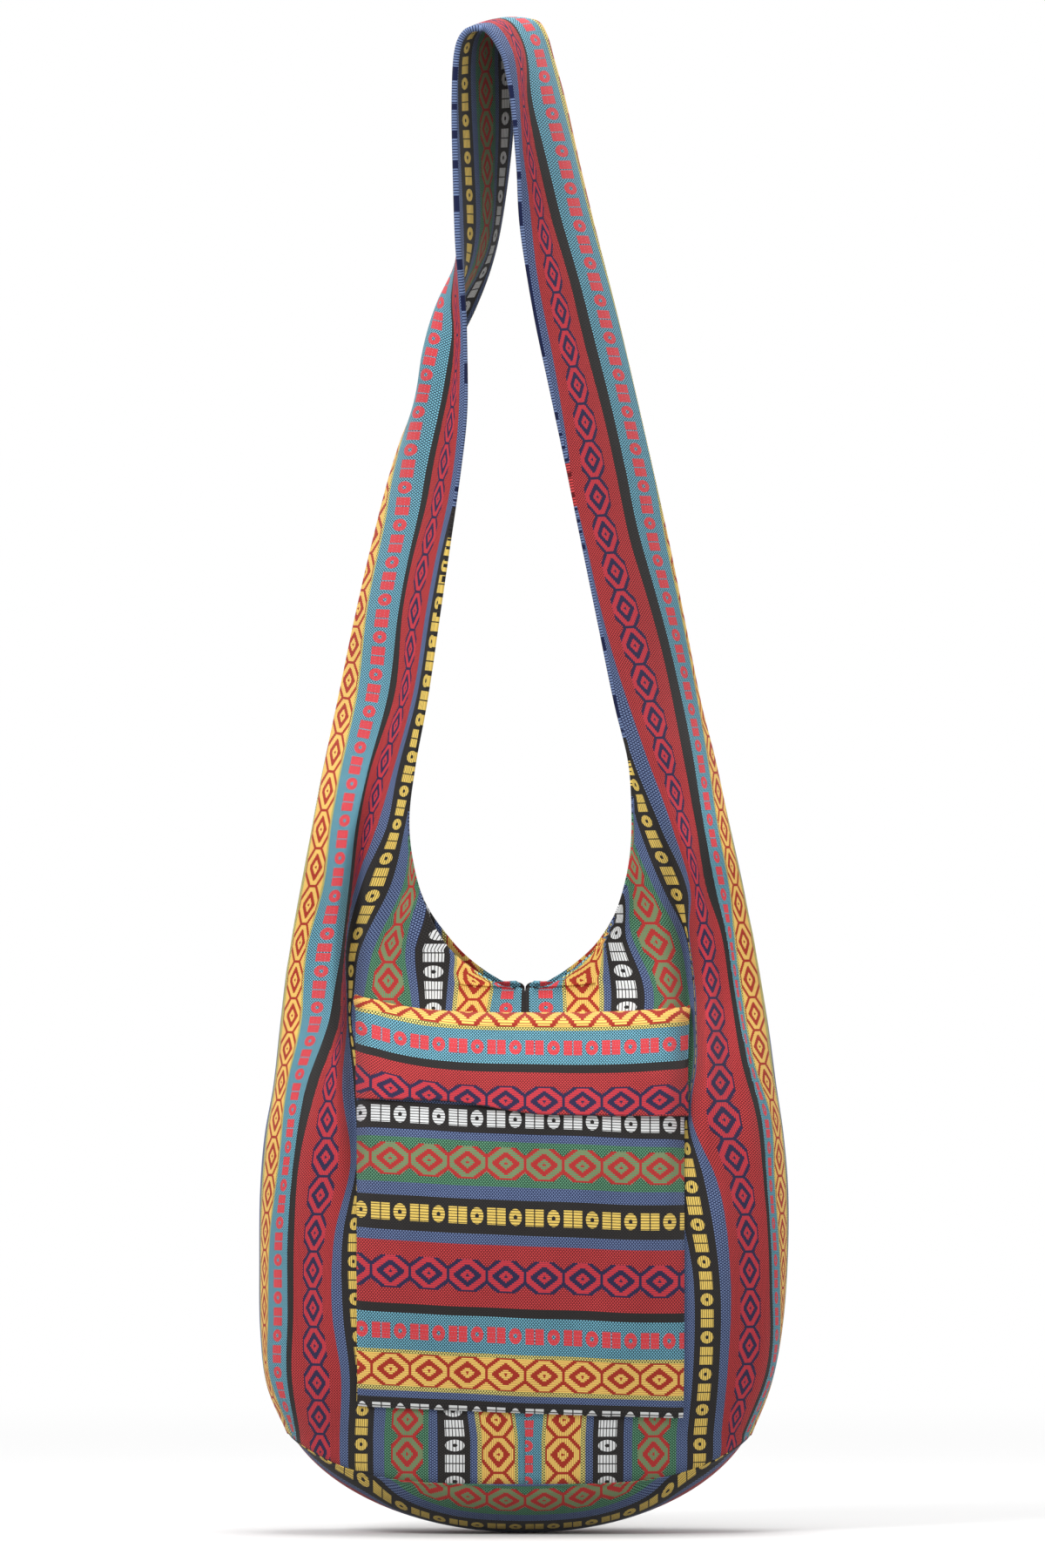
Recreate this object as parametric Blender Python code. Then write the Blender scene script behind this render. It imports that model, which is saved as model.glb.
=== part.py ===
"""A woven cotton sling bag, hanging open from its shoulder strap. Metres, +Z up, the front faces -Y.

Two front panels meet at a centre seam and run on, folded into a flat tube, as the two halves of the
shoulder strap. Two back panels close the pouch behind them, an oval base panel closes it below, and
the front carries a patch pocket under a sewn flap. Every panel is lofted through sections of the
cloth, from its seam or mouth edge round to the side seam, and has the cloth's thickness.
"""

import bmesh
import bpy
import numpy as np
from mathutils import Matrix

HEIGHT = 1.0          # lowest point of the base to the top of the strap
HALF_WIDTH = 0.175    # centre seam to side, where the pouch is widest
DEPTH = 0.078         # middle of the pouch to its front, where it is fullest
STRAP_WIDTH = 0.083   # the strap laid flat
CLOTH = 0.002         # cloth with its turned edge
STRAP_PUFF = 0.006    # how far the folded strap tube stands open along its middle
SEAM_GAP = 0.0003     # between two panels sewn edge to edge

POCKET_WIDTH = 0.213
POCKET_CENTRE = -0.003
POCKET_TOP = 0.333
POCKET_BOTTOM = 0.082
POCKET_SLOPE = -0.0375    # the bottom edge hangs lower towards the right
POCKET_FULLNESS = 0.013   # how far the pocket stands off the front
LAP_GAP = 0.0008          # between a piece and the cloth it is sewn on
FLAP_WIDTH = 0.2175
FLAP_CENTRE = -0.0012
FLAP_LENGTH = 0.060       # from its rolled edge down, at the left end
FLAP_STEP = 0.0085        # how much further it hangs to the right of the middle
FLAP_TOP = POCKET_TOP + 0.0145
FLAP_ROLL = 0.009         # height of the rolled hem along the flap's top

FRONT_GRID = (54, 19)     # sections and points across, base seam to strap top
BACK_GRID = (25, 13)
POCKET_GRID = (16, 15)
FLAP_GRID = (12, 19)
BASE_RINGS = 8
BASE_TURN = np.radians(70)    # how far the domed base turns between its seam and its middle

# Stations up each side: (edge x, edge z, side x, side z), x outward from the centre, drawn at the
# sizes above. The edge runs up the centre seam, round the mouth and up the strap's front edge; the
# side runs up the side seam and the strap's back edge. Past the mouth each row climbs outward.
DRAWN = (0.175, 1.0)
LEFT_STATIONS = [
    (0.0, 0.034, 0.157, 0.065), (0.0, 0.085, 0.1705, 0.097), (0.0, 0.125, 0.1750, 0.135),
    (0.0, 0.170, 0.1755, 0.180), (0.0, 0.215, 0.1750, 0.225), (0.0, 0.255, 0.1720, 0.262),
    (0.0, 0.290, 0.1662, 0.295), (0.0, 0.325, 0.1622, 0.331), (0.0, 0.3570, 0.1582, 0.366),
    (0.015, 0.3610, 0.1560, 0.380), (0.036, 0.373, 0.1535, 0.396), (0.053, 0.389, 0.1500, 0.416),
    (0.065, 0.411, 0.1455, 0.440), (0.0735, 0.438, 0.1405, 0.467), (0.0772, 0.470, 0.1350, 0.497),
    (0.0735, 0.507, 0.1290, 0.526), (0.0665, 0.548, 0.1225, 0.557), (0.0590, 0.600, 0.1130, 0.603),
    (0.0520, 0.649, 0.1020, 0.651), (0.0445, 0.701, 0.0885, 0.703), (0.0405, 0.735, 0.0760, 0.737),
    (0.0400, 0.769, 0.0570, 0.770), (0.0420, 0.808, 0.0350, 0.809), (0.0460, 0.848, 0.0220, 0.849),
    (0.0478, 0.900, 0.0133, 0.902), (0.0485, 0.942, 0.0095, 0.947), (0.0468, 0.976, 0.0096, 0.983),
    (0.0405, 0.9905, 0.0066, 0.996), (0.0293, 0.9936, 0.0, 1.0),
]
RIGHT_STATIONS = [
    (0.0, 0.034, 0.1495, 0.064), (0.0, 0.085, 0.1625, 0.097), (0.0, 0.125, 0.1700, 0.135),
    (0.0, 0.170, 0.1735, 0.180), (0.0, 0.215, 0.1738, 0.225), (0.0, 0.255, 0.1708, 0.262),
    (0.0, 0.290, 0.1660, 0.295), (0.0, 0.325, 0.1612, 0.331), (0.0, 0.3570, 0.1555, 0.366),
    (0.014, 0.3610, 0.1532, 0.379), (0.032, 0.372, 0.1508, 0.393), (0.049, 0.388, 0.1475, 0.409),
    (0.061, 0.411, 0.1438, 0.428), (0.0688, 0.440, 0.1390, 0.450), (0.0712, 0.470, 0.1330, 0.477),
    (0.0695, 0.508, 0.1258, 0.511), (0.0610, 0.546, 0.1165, 0.548), (0.0505, 0.598, 0.1062, 0.600),
    (0.0400, 0.649, 0.0960, 0.651), (0.0292, 0.702, 0.0843, 0.704), (0.0182, 0.754, 0.0725, 0.756),
    (0.0075, 0.805, 0.0605, 0.807), (-0.0010, 0.860, 0.0462, 0.863), (-0.0030, 0.902, 0.0362, 0.905),
    (-0.0065, 0.942, 0.0270, 0.946), (-0.0110, 0.969, 0.0196, 0.973), (-0.0160, 0.9815, 0.0150, 0.989),
    (-0.0225, 0.9905, 0.0091, 0.9985), (-0.0293, 0.9936, 0.0, 1.0),
]
# The back panels' own edge at the same stations, up to where they end against the strap.
BACK_EDGE = [
    (0.0, 0.034), (0.0, 0.085), (0.0, 0.125), (0.0, 0.170), (0.0, 0.215), (0.0, 0.255), (0.0, 0.290),
    (0.0, 0.325), (0.0, 0.3590), (0.015, 0.3635), (0.034, 0.376), (0.050, 0.392), (0.063, 0.415),
    (0.070, 0.441), (0.078, 0.474), (0.093, 0.510), (0.1065, 0.545),
]
# Profiles up the bag: (z, value), z in heights.
FRONT_DEPTH = [(0.034, 0.79), (0.085, 0.94), (0.15, 1.0), (0.22, 0.99), (0.30, 0.82), (0.358, 0.47),
               (0.45, 0.45), (0.56, 0.40)]
BACK_DEPTH = [(0.034, 0.77), (0.085, 0.90), (0.15, 0.94), (0.22, 0.92), (0.30, 0.75), (0.358, 0.45),
              (0.45, 0.43), (0.56, 0.41)]
SQUARENESS = [(0.034, 2.0), (0.12, 2.5), (0.30, 2.5), (0.42, 2.1), (0.60, 2.0)]
ROW_RISE = [(0.034, 4.0), (0.20, 3.0), (0.36, 1.3), (0.45, 1.0)]
# The fold that gathers each side below the strap: (z, x in half widths, depth).
LEFT_FOLD = [(0.10, 0.64, 0.0), (0.20, 0.64, 0.0), (0.26, 0.65, 0.008), (0.35, 0.67, 0.013),
             (0.40, 0.66, 0.012), (0.44, 0.63, 0.009), (0.50, 0.57, 0.004), (0.55, 0.52, 0.0)]
RIGHT_FOLD = [(0.10, 0.62, 0.0), (0.19, 0.61, 0.0), (0.26, 0.615, 0.007), (0.32, 0.635, 0.013),
              (0.36, 0.64, 0.013), (0.40, 0.62, 0.012), (0.45, 0.56, 0.007), (0.50, 0.46, 0.0)]
FOLD_WIDTH = 0.010
BACK_FOLD = 0.6       # the back's fold against the front's
# How far the strap's outer face bows out between its edges: (z, distance).
LEFT_BOW = [(0.50, 0.004), (0.60, 0.006), (0.70, 0.009), (0.737, 0.014), (0.770, 0.021),
            (0.808, 0.020), (0.848, 0.006), (0.90, 0.004), (1.0, 0.003)]
RIGHT_BOW = [(0.50, 0.004), (0.64, 0.007), (0.85, 0.008), (0.95, 0.005), (1.0, 0.003)]
# The strap tube stands open along its legs and is drawn flat over its top: (z, share of STRAP_PUFF).
STRAP_OPEN = [(0.58, 1.0), (0.88, 1.0), (0.95, 0.2), (1.0, 0.1)]
STRAP_STARTS = 0.43   # between these heights the side flattens into the strap
STRAP_FORMED = 0.58
STRAP_FOOT = 0.53     # each strap half is a node of its own from here up, on the same run of cloth


def between(table, row_of, t, slopes):
    """Hermite step through a table's rows, t counted in rows."""
    k = np.clip(np.floor(t).astype(int), 0, len(table) - 2)
    u = np.clip(t - k, 0, 1)[..., None]
    h = row_of[k + 1][..., None] - row_of[k][..., None]
    return ((2 * u**3 - 3 * u**2 + 1) * table[k] + (u**3 - 2 * u**2 + u) * h * slopes[k]
            + (3 * u**2 - 2 * u**3) * table[k + 1] + (u**3 - u**2) * h * slopes[k + 1])


def through(stations, t):
    """A smooth curve through the stations, read at station number t."""
    table = np.array(stations, float)
    count = np.arange(len(table), dtype=float)
    return between(table, count, np.asarray(t, float), np.gradient(table, axis=0))


def profile(table, z, column=1):
    """Reads a height profile at z, smooth through its points and level beyond its ends."""
    rows = np.array(table, float)
    at = rows[:, 0] * HEIGHT
    z = np.clip(z, at[0], at[-1])
    values = rows[:, column:column + 1]
    t = np.interp(z, at, np.arange(len(at)))
    return between(values, at, t, np.gradient(values, at, axis=0))[..., 0]


def ease(x, low, high):
    t = np.clip((x - low) / (high - low), 0, 1)
    return t * t * (3 - 2 * t)


def unit(vectors):
    return vectors / np.maximum(np.linalg.norm(vectors, axis=-1, keepdims=True), 1e-12)


def grid_normals(points, around=False):
    """Normals of a grid of points, facing rows x columns."""
    if around:
        across = np.roll(points, -1, axis=1) - np.roll(points, 1, axis=1)
    else:
        across = np.gradient(points, axis=1)
    return unit(np.cross(across, np.gradient(points, axis=0)))


class Side:
    """One side of the bag: outline, depth and folds, with x measured outward from the centre."""

    def __init__(self, stations, beyond, fold, bow, sign):
        scale = np.array([HALF_WIDTH, HEIGHT, HALF_WIDTH, HEIGHT]) / (DRAWN * 2)
        self.last = len(stations) - 1
        # The other half's station past the top makes the strap run level over the seam.
        past = [-beyond[-2][0], beyond[-2][1], -beyond[-2][2], beyond[-2][3]]
        self.stations = np.array(stations + [past]) * scale
        self.fold, self.bow, self.sign = fold, bow, sign
        fine = through(self.stations, np.linspace(0, self.last, 500))
        self.edge = (fine[:, 1], fine[:, 0])
        self.outline = (fine[:, 3], fine[:, 2])

    def width(self, z):
        return np.interp(z, *self.outline)

    def seam_y(self, z):
        """How far back the side seam lies: level with the middle, then out to the strap's back edge."""
        across = self.width(z) - np.interp(z, *self.edge)
        lag = 0.5 * np.sqrt(np.maximum(STRAP_WIDTH**2 - across**2, 0))
        return lag * ease(z, STRAP_STARTS * HEIGHT, STRAP_FORMED * HEIGHT)

    def oval(self, x, z, depth, folded):
        """Depth of the pouch's front or back at (x, z): an oval, squarer where the bag is full."""
        side_y = self.seam_y(z)
        start = np.interp(z, *self.edge) * ease(z, 0.40 * HEIGHT, STRAP_FORMED * HEIGHT)
        share = np.clip((x - start) / np.maximum(self.width(z) - start, 1e-4), 0, 1)
        n = profile(SQUARENESS, z)
        y = side_y + (depth - side_y) * (1 - share**n) ** (1 / n)
        from_fold = (x - profile(self.fold, z) * HALF_WIDTH) / FOLD_WIDTH
        return y + folded * np.maximum(profile(self.fold, z, 2), 0) * np.exp(-from_fold**2)

    def front_y(self, x, z):
        return self.oval(x, z, -DEPTH * profile(FRONT_DEPTH, z), 1)

    def back_y(self, x, z):
        return self.oval(x, z, DEPTH * profile(BACK_DEPTH, z), -BACK_FOLD)

    def spread(self, low, high, columns):
        """Points across each section from its edge to the side, drawn closer together at the fold."""
        v = np.linspace(0, 1, 241)
        rows = []
        for (edge_x, edge_z), (side_x, side_z) in zip(low, high):
            share = np.sin(v * np.pi / 2) ** (2 / profile(SQUARENESS, edge_z))
            fold_at = profile(self.fold, edge_z) * HALF_WIDTH
            centre = (fold_at - edge_x) / max(side_x - edge_x, 1e-4)
            bunch = 2.2 * ease(edge_z, 0.15, 0.25) * (1 - ease(edge_z, 0.48, 0.56))
            density = 1 + bunch * np.exp(-(((share - centre) / 0.09) ** 2))
            total = np.concatenate([[0], np.cumsum((density[1:] + density[:-1]) / 2)])
            rows.append(np.interp(np.linspace(0, total[-1], columns), total, v))
        return np.array(rows)

    def pouch(self, low, high, columns, depth_at):
        v = self.spread(low, high, columns)
        n = profile(SQUARENESS, low[:, 1])[:, None]
        share = np.sin(v * np.pi / 2) ** (2 / n)
        rise = share ** profile(ROW_RISE, low[:, 1])[:, None]
        z = low[:, 1:] + (high[:, 1:] - low[:, 1:]) * rise
        x = low[:, :1] + share * (self.width(z) - low[:, :1])
        return np.stack([x, depth_at(x, z), z], axis=-1), v


LEFT = Side(LEFT_STATIONS, RIGHT_STATIONS, LEFT_FOLD, LEFT_BOW, -1)
RIGHT = Side(RIGHT_STATIONS, LEFT_STATIONS, RIGHT_FOLD, RIGHT_BOW, 1)


def front_sections(side):
    """A front panel with its half of the strap: outer face, and thickness at each point."""
    rows, columns = FRONT_GRID
    line = through(side.stations, np.linspace(0, side.last, rows))
    low, high = line[:, :2], line[:, 2:]
    points, v = side.pouch(low, high, columns, side.front_y)

    # The cloth's width is shared between the strap's slant across, its bow and its reach to the back.
    bow = profile(side.bow, low[:, 1])
    lag = 0.5 * np.sqrt(np.maximum(STRAP_WIDTH**2 - ((high - low) ** 2).sum(1) - 5.3 * bow**2, 0))
    front = np.stack([low[:, 0], -lag, low[:, 1]], axis=-1)[:, None]
    back = np.stack([high[:, 0], lag, high[:, 1]], axis=-1)[:, None]
    outward = unit(np.cross(back - front, np.gradient(front + back, axis=0)))
    bowed = outward * (bow[:, None] * np.sin(np.pi * v))[..., None]
    strap = front + (back - front) * v[..., None] + bowed

    formed = ease(low[:, 1:], STRAP_STARTS * HEIGHT, STRAP_FORMED * HEIGHT)
    points = points + (strap - points) * formed[..., None]
    puff = STRAP_PUFF * profile(STRAP_OPEN, low[:, 1])[:, None]
    return points, CLOTH + formed * (CLOTH + puff * np.sin(np.pi * v))


def back_sections(side, seam):
    """A back panel, from its centre or mouth edge to the front panel's side edge, called seam."""
    line = through(side.stations, np.linspace(0, len(BACK_EDGE) - 1, BACK_GRID[0]))
    low = through(BACK_EDGE, np.linspace(0, len(BACK_EDGE) - 1, BACK_GRID[0]))
    low = low * [HALF_WIDTH / DRAWN[0], HEIGHT / DRAWN[1]]
    points, v = side.pouch(low, line[:, 2:], BACK_GRID[1], side.back_y)
    z = points[..., 2]
    to_seam = np.interp(z, seam[:, 2], seam[:, 1]) - side.seam_y(z)
    points[..., 1] += to_seam * v**2 + SEAM_GAP + 2.6 * CLOTH * ease(z, 0.38 * HEIGHT, 0.50 * HEIGHT)
    return points


def on_front(x, z):
    """The front panels' outer face at (x, z) across both halves."""
    return np.where(x < 0, LEFT.front_y(-x, z), RIGHT.front_y(x, z))


def finish_piece(name, mesh, colour):
    bmesh.ops.recalc_face_normals(mesh, faces=mesh.faces[:])
    if mesh.calc_volume(signed=True) < 0:
        bmesh.ops.reverse_faces(mesh, faces=mesh.faces[:])
    data = bpy.data.meshes.new(name)
    mesh.to_mesh(data)
    mesh.free()
    data.shade_smooth()
    piece = bpy.data.objects.new(name, data)
    bag.objects.link(piece)
    material = bpy.data.materials.new(name + "_cloth")
    material.use_nodes = True
    shader = material.node_tree.nodes["Principled BSDF"]
    shader.inputs["Base Color"].default_value = (*colour, 1)
    shader.inputs["Roughness"].default_value = 0.9
    shader.inputs["Metallic"].default_value = 0.0
    data.materials.append(material)


def add_cloth(name, outer, inner, colour):
    """Closes the space between two grids of points into one solid piece of cloth."""
    rows, columns = outer.shape[:2]
    mesh = bmesh.new()
    near, far = ([[mesh.verts.new(p) for p in row] for row in grid] for grid in (outer, inner))
    for i in range(rows - 1):
        for j in range(columns - 1):
            for grid in (near, far):
                a, b, c, d = grid[i][j], grid[i][j + 1], grid[i + 1][j + 1], grid[i + 1][j]
                mesh.faces.new((a, b, c))
                mesh.faces.new((a, c, d))
    rim = ([(0, j) for j in range(columns - 1)] + [(i, columns - 1) for i in range(rows - 1)]
           + [(rows - 1, j) for j in range(columns - 1, 0, -1)] + [(i, 0) for i in range(rows - 1, 0, -1)])
    for (i, j), (k, m) in zip(rim, rim[1:] + rim[:1]):
        mesh.faces.new((near[i][j], near[k][m], far[k][m]))
        mesh.faces.new((near[i][j], far[k][m], far[i][j]))
    finish_piece(name, mesh, colour)


def square_side(grids, slant):
    """Cuts the side edge square to the seam where the pouch is, and square to the cloth where slanted."""
    outer, inner = grids
    inner[:, -1, 1] = outer[:, -1, 1] + (inner[:, -1, 1] - outer[:, -1, 1]) * slant


def close_centre(grids, seam_rows, sign):
    """Sets the centre seam's edges straight, half a gap from the middle, and puts x on its side."""
    for grid in grids:
        grid[:seam_rows, 0, 0] = SEAM_GAP / 2
        grid[..., 0] *= sign


def front_panel(name, strap_name, side, colour):
    outer, thickness = front_sections(side)
    inner = outer - grid_normals(outer) * thickness[..., None]
    square_side((outer, inner), ease(outer[:, 0, 2], STRAP_STARTS * HEIGHT, STRAP_FORMED * HEIGHT))
    lower_rows = outer[: FRONT_GRID[0] // 2, 0, 0]
    close_centre((outer, inner), int((lower_rows <= SEAM_GAP).sum()), side.sign)
    # The strap halves end face to face in the upright plane through the strap's top line.
    across = outer[-1, -1] - outer[-1, 0]
    away = unit(np.array([across[1], -across[0], 0.0])) * side.sign
    outer[-1] -= ((outer[-1] - outer[-1, 0]) @ away)[:, None] * away
    inner[-1] = outer[-1] - np.array([0, 0, 1]) * thickness[-1][:, None]
    for grid in (outer, inner):
        grid[-1] += away * SEAM_GAP / 2
    foot = int(np.argmax(outer[:, 0, 2] > STRAP_FOOT * HEIGHT))
    add_cloth(name, outer[:foot + 1], inner[:foot + 1], colour)
    add_cloth(strap_name, *(start_apart(grid[foot:]) for grid in (outer, inner)), colour)
    return outer, inner


def start_apart(grid):
    """Draws a grid's first row back from the piece before it, by the gap of a seam."""
    grid = grid.copy()
    grid[0] += unit(grid[1] - grid[0]) * SEAM_GAP
    return grid


def back_panel(name, side, front, colour):
    outer = back_sections(side, front[0][:, -1])
    inner = outer + grid_normals(outer) * CLOTH
    square_side((outer, inner), 0)
    close_centre((outer, inner), int((outer[:, 0, 0] <= SEAM_GAP).sum()), side.sign)
    add_cloth(name, outer, inner, colour)
    return outer, inner


def base_panel(name, panels, colour):
    """The oval base: rings shrink from the panels' lower edges to the middle, as a shallow dome."""
    right_front, right_back, left_back, left_front = panels
    rims = [np.concatenate([right_front[k][0], right_back[k][0][-2::-1], left_back[k][0][1:],
                            left_front[k][0][-2:0:-1]]) - [0, 0, SEAM_GAP] for k in (0, 1)]
    shares = np.linspace(1, 0, BASE_RINGS + 1)[:-1]
    rings = []
    for share in shares:
        reach = np.sin(share * BASE_TURN) / np.sin(BASE_TURN)
        drop = (1 - np.cos(share * BASE_TURN)) / (1 - np.cos(BASE_TURN))
        rings.append(rims[0] * [reach, reach, drop])
    outer = np.array(rings)
    inner = outer + grid_normals(outer, around=True) * CLOTH
    inner[0] = rims[1]
    mesh = bmesh.new()
    near, far = ([[mesh.verts.new(p) for p in ring] for ring in grid] for grid in (outer, inner))
    poles = (mesh.verts.new((0, 0, 0)), mesh.verts.new((0, 0, CLOTH)))
    count = len(rims[0])
    for j in range(count):
        k = (j + 1) % count
        for grid, pole in zip((near, far), poles):
            for ring, below in zip(grid, grid[1:]):
                mesh.faces.new((ring[j], ring[k], below[k]))
                mesh.faces.new((ring[j], below[k], below[j]))
            mesh.faces.new((grid[-1][j], grid[-1][k], pole))
        mesh.faces.new((near[0][j], near[0][k], far[0][k]))
        mesh.faces.new((near[0][j], far[0][k], far[0][j]))
    finish_piece(name, mesh, colour)


def pocket_fullness(x, z):
    """How far the pocket stands off the front: nothing at its three sewn edges, most above its middle."""
    across = np.clip(np.abs(x - POCKET_CENTRE) / (POCKET_WIDTH / 2), 0, 1)
    up = np.clip((z - POCKET_BOTTOM - POCKET_SLOPE * x) / (POCKET_TOP - POCKET_BOTTOM), 0, 1)
    return POCKET_FULLNESS * (1 - across**3) ** 0.8 * np.sin(np.pi * 0.83 * up) ** 0.8


def edgewise(count):
    """Places from -0.5 to 0.5, closer together towards both ends."""
    return np.sin(np.linspace(-np.pi / 2, np.pi / 2, count)) / 2


def pocket(name, colour):
    u, v = np.meshgrid(edgewise(POCKET_GRID[1]), np.linspace(0, 1, POCKET_GRID[0]))
    x = POCKET_CENTRE + u * POCKET_WIDTH
    low = POCKET_BOTTOM + POCKET_SLOPE * x
    z = low + (POCKET_TOP - low) * v
    y = on_front(x, z) - LAP_GAP - pocket_fullness(x, z)
    inner = np.stack([x, y, z], axis=-1)
    add_cloth(name, inner + grid_normals(inner) * CLOTH, inner, colour)


def flap(name, colour):
    u, v = np.meshgrid(edgewise(FLAP_GRID[1]), np.linspace(0, 1, FLAP_GRID[0]) ** 1.5)
    x = FLAP_CENTRE + u * FLAP_WIDTH
    top = FLAP_TOP - 0.004 * np.cos(np.pi * u) - 0.004 * (u + 0.5) ** 2
    low = FLAP_TOP - FLAP_LENGTH - FLAP_STEP * ease(u, -0.28, 0.10) - 0.003 * (u + 0.5)
    z = top + (low - top) * v
    over = 2 * LAP_GAP + 1.15 * CLOTH
    clear = LAP_GAP + (over + pocket_fullness(x, z)) * ease(top - z, 0, top - POCKET_TOP - 0.002)
    inner = np.stack([x, on_front(x, z) - clear, z], axis=-1)
    roll = 1 + 0.9 * np.exp(-((((top - z) - FLAP_ROLL / 2) / (FLAP_ROLL / 2)) ** 2))
    outer = inner - grid_normals(inner) * (CLOTH * roll)[..., None]
    add_cloth(name, outer, inner, colour)


for old in list(bpy.data.objects):
    bpy.data.objects.remove(old, do_unlink=True)
bag = bpy.data.collections.new("sling_bag")
bpy.context.scene.collection.children.link(bag)

left_front = front_panel("left_front_panel", "left_strap", LEFT, (0.42, 0.03, 0.04))
right_front = front_panel("right_front_panel", "right_strap", RIGHT, (0.42, 0.03, 0.04))
left_back = back_panel("left_back_panel", LEFT, left_front, (0.10, 0.26, 0.36))
right_back = back_panel("right_back_panel", RIGHT, right_front, (0.10, 0.26, 0.36))
base_panel("base_panel", (right_front, right_back, left_back, left_front), (0.05, 0.20, 0.10))
pocket("front_pocket", (0.60, 0.35, 0.06))
flap("pocket_flap", (0.35, 0.02, 0.03))

# The origin is the middle of the bag's outline seen from above, level with its lowest point.
corners = np.array([v.co for piece in bag.objects for v in piece.data.vertices])
origin = (corners.min(axis=0) + corners.max(axis=0)) / 2
origin[2] = corners[:, 2].min()
for piece in bag.objects:
    piece.data.transform(Matrix.Translation(-origin))
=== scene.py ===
# %% [markdown]
# # A woven cotton sling bag
# The bag is sewn from one striped cotton cloth: two front panels that run on as the strap, two back
# panels, an oval base, a patch pocket and its flap. On the real bag the stripes are woven first, and
# then the cloth is cut, gathered and sewn, so they follow every fold. This script works in the same
# order. Each piece is a sheet of points, each point knows its place in the cloth, and one material
# weaves the pattern from those places. Metres, +Z up, the front faces -Y.

# %% [markdown]
# ## The frame
# The CAD gives the bag's size and place. Stripes are counted in warp threads, as a weaver counts them.

import bpy
import numpy as np
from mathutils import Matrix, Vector


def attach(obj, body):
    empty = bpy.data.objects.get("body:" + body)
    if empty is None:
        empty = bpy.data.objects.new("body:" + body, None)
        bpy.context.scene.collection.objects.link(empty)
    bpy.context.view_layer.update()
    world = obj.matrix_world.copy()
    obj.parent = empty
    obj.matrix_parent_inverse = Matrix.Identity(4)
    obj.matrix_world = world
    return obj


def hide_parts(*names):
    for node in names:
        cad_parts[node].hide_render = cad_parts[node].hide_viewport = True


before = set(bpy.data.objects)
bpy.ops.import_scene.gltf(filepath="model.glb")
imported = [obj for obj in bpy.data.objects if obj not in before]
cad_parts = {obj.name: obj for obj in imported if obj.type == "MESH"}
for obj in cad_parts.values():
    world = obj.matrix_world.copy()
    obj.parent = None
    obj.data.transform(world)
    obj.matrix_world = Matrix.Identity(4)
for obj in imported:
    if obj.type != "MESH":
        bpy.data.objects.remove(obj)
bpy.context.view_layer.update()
THREAD = 0.000575    # metres; stripes and their paths are counted in threads
print("nodes in the frame:", sorted(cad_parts))

# %% [markdown]
# ## The outline
# Soft cloth has no straight edge to measure, so each side of the bag is a list of stations from the base
# to the strap's top. A station holds the edge of the cloth (x, z) and its side (x, z), with x outward
# from the centre. The edge climbs the centre seam, goes round the mouth and up the strap's front. The
# side climbs the side seam and the strap's back. The two sides hang differently, so each has its own
# list and both share all the code.

# %% Outline stations
ORIGIN = np.array([-0.00075, -0.00989, 0.0])    # of the frame, in the measures below
LEFT_STATIONS = [
    (0.0, 0.034, 0.157, 0.065), (0.0, 0.085, 0.1705, 0.097), (0.0, 0.125, 0.1750, 0.135),
    (0.0, 0.170, 0.1755, 0.180), (0.0, 0.215, 0.1750, 0.225), (0.0, 0.255, 0.1720, 0.262),
    (0.0, 0.290, 0.1662, 0.295), (0.0, 0.325, 0.1622, 0.331), (0.0, 0.3570, 0.1582, 0.366),
    (0.015, 0.3610, 0.1560, 0.380), (0.036, 0.373, 0.1535, 0.396), (0.053, 0.389, 0.1500, 0.416),
    (0.065, 0.411, 0.1455, 0.440), (0.0735, 0.438, 0.1405, 0.467), (0.0772, 0.470, 0.1350, 0.497),
    (0.0735, 0.507, 0.1290, 0.526), (0.0665, 0.548, 0.1225, 0.557), (0.0590, 0.600, 0.1130, 0.603),
    (0.0520, 0.649, 0.1020, 0.651), (0.0445, 0.701, 0.0885, 0.703), (0.0405, 0.735, 0.0760, 0.737),
    (0.0400, 0.769, 0.0570, 0.770), (0.0420, 0.808, 0.0350, 0.809), (0.0460, 0.848, 0.0220, 0.849),
    (0.0478, 0.900, 0.0133, 0.902), (0.0485, 0.942, 0.0095, 0.947), (0.0468, 0.976, 0.0096, 0.983),
    (0.0405, 0.9905, 0.0066, 0.996), (0.0293, 0.9936, 0.0, 1.0),
]
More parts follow.
